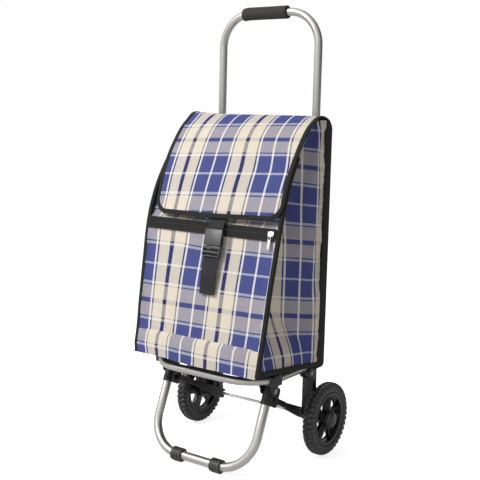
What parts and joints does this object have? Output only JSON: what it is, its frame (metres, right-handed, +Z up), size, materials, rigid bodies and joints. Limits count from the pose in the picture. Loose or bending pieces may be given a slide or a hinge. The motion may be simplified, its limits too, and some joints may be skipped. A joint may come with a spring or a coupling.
{
  "type": "shopping trolley",
  "caption": "Two-wheeled shopping trolley: folding tube frame with a loop handle and front rest, carrying a tall plaid bag with a buckled flap and a zipped pocket.",
  "frame": {"origin": "floor point under the middle of the trolley's bounding box", "axes": "X across the trolley, positive to the right seen from in front of the bag; Y from the bag's front to the handle; Z up"},
  "size_m": [0.3928, 0.3325, 0.968],
  "materials": {
    "tube": "satin silver-grey coated steel tube",
    "foam": "dark closed-cell foam grip",
    "zinc": "bright zinc-plated steel",
    "rivet": "plated steel rivets and pins",
    "fitting": "black moulded nylon",
    "tyre": "black solid tyre with block tread",
    "wheel": "black moulded wheel",
    "bush": "grey bearing bush",
    "cap": "dark domed cap",
    "plaid": "blue, cream and grey check woven cloth",
    "binding": "black woven tape",
    "lining": "dark coated lining cloth",
    "board": "dark stiffening board",
    "webbing": "black ribbed webbing",
    "buckle": "black moulded side-release buckle",
    "zip_metal": "bright zip slider and pull"
  },
  "bodies": {
    "frame": {"main_tube": "tube", "handle_grip": "foam", "wheel_bracket_left": "fitting", "wheel_bracket_right": "fitting", "axle": "zinc", "axle_washers": "zinc", "push_nuts": "zinc", "bracket_rivets": "rivet", "platform_pins": "rivet", "bag_front": "plaid", "bag_side_left": "plaid", "bag_side_right": "plaid", "bag_back": "lining", "bag_base": "lining", "base_board": "board", "pocket_lining": "lining", "front_binding_left": "binding", "front_binding_right": "binding", "rear_binding_left": "binding", "rear_binding_right": "binding", "bottom_binding_left": "binding", "bottom_binding_right": "binding", "tube_sleeve_left": "binding", "tube_sleeve_right": "binding", "zipper_tape": "binding", "strap_lower": "webbing"},
    "wheel_left": {"tyre_left": "tyre", "wheel_hub_left": "wheel", "wheel_bush_left": "bush", "hub_cap_left": "cap"},
    "wheel_right": {"tyre_right": "tyre", "wheel_hub_right": "wheel", "wheel_bush_right": "bush", "hub_cap_right": "cap"},
    "platform": {"platform_tube": "tube", "platform_end_left": "fitting", "platform_end_right": "fitting", "platform_lug_left": "fitting", "platform_lug_right": "fitting", "leg_pins": "rivet"},
    "leg": {"leg_tube": "tube", "leg_clamp_left": "fitting", "leg_clamp_right": "fitting", "clamp_rivets": "rivet", "strut_pins": "rivet", "foot_sleeve_left": "fitting", "foot_sleeve_right": "fitting"},
    "strut_left": {"strut_left": "fitting"},
    "strut_right": {"strut_right": "fitting"},
    "flap": {"bag_flap": "plaid", "flap_binding": "binding", "strap_upper": "webbing", "buckle_socket": "buckle"},
    "buckle_plug": {"buckle_plug": "buckle"},
    "zipper_slider": {"zipper_slider": "zip_metal"},
    "zipper_pull": {"zipper_pull": "zip_metal"}
  },
  "joints": [
    {"name": "wheel_left_spin", "type": "hinge", "parent": "frame", "child": "wheel_left", "pos_m": [-0.174, 0.08623, 0.08], "axis": [1, 0, 0], "continuous": true},
    {"name": "wheel_right_spin", "type": "hinge", "parent": "frame", "child": "wheel_right", "pos_m": [0.174, 0.08623, 0.08], "axis": [1, 0, 0], "continuous": true},
    {"name": "platform_fold", "type": "hinge", "parent": "frame", "child": "platform", "pos_m": [0, 0.04823, 0.188], "axis": [-1, 0, 0], "range_deg": [0, 78], "deforming": ["bag_front", "bag_side_left", "bag_side_right", "bag_back", "bag_base", "base_board", "pocket_lining", "front_binding_left", "front_binding_right", "bottom_binding_left", "bottom_binding_right", "zipper_tape", "strap_lower", "bag_flap", "flap_binding", "strap_upper", "buckle_socket", "buckle_plug", "zipper_slider", "zipper_pull"]},
    {"name": "leg_fold", "type": "hinge", "parent": "platform", "child": "leg", "pos_m": [0, -0.07357, 0.176], "axis": [-1, 0, 0], "range_deg": [0, 66.74]},
    {"name": "strut_left_fold", "type": "hinge", "parent": "leg", "child": "strut_left", "pos_m": [0, -0.05377, 0.15], "axis": [-1, 0, 0], "range_deg": [-93.31, 0]},
    {"name": "strut_right_fold", "type": "hinge", "parent": "leg", "child": "strut_right", "pos_m": [0, -0.05377, 0.15], "axis": [-1, 0, 0], "range_deg": [-93.31, 0]},
    {"name": "flap_open", "type": "hinge", "parent": "frame", "child": "flap", "pos_m": [0, 0.08123, 0.7235], "axis": [-1, 0, 0], "range_deg": [0, 68], "deforming": ["buckle_plug"]},
    {"name": "buckle_release", "type": "slide", "parent": "frame", "child": "buckle_plug", "axis": [0, -0.2559, -0.9667], "range_m": [0, 0.024], "deforming": ["strap_lower"]},
    {"name": "zipper_slide", "type": "slide", "parent": "frame", "child": "zipper_slider", "axis": [-1, 0, 0], "range_m": [0, 0.29]},
    {"name": "zipper_pull_swing", "type": "hinge", "parent": "zipper_slider", "child": "zipper_pull", "pos_m": [0.1475, -0.10273, 0.50225], "axis": [-1, 0, 0], "range_deg": [0, 100]}
  ],
  "couplings": [
    {"joint": "leg_fold", "follows": "platform_fold", "ratio": 0.85551},
    {"joint": "strut_left_fold", "follows": "platform_fold", "ratio": -1.1961},
    {"joint": "strut_right_fold", "follows": "platform_fold", "ratio": -1.1961}
  ]
}
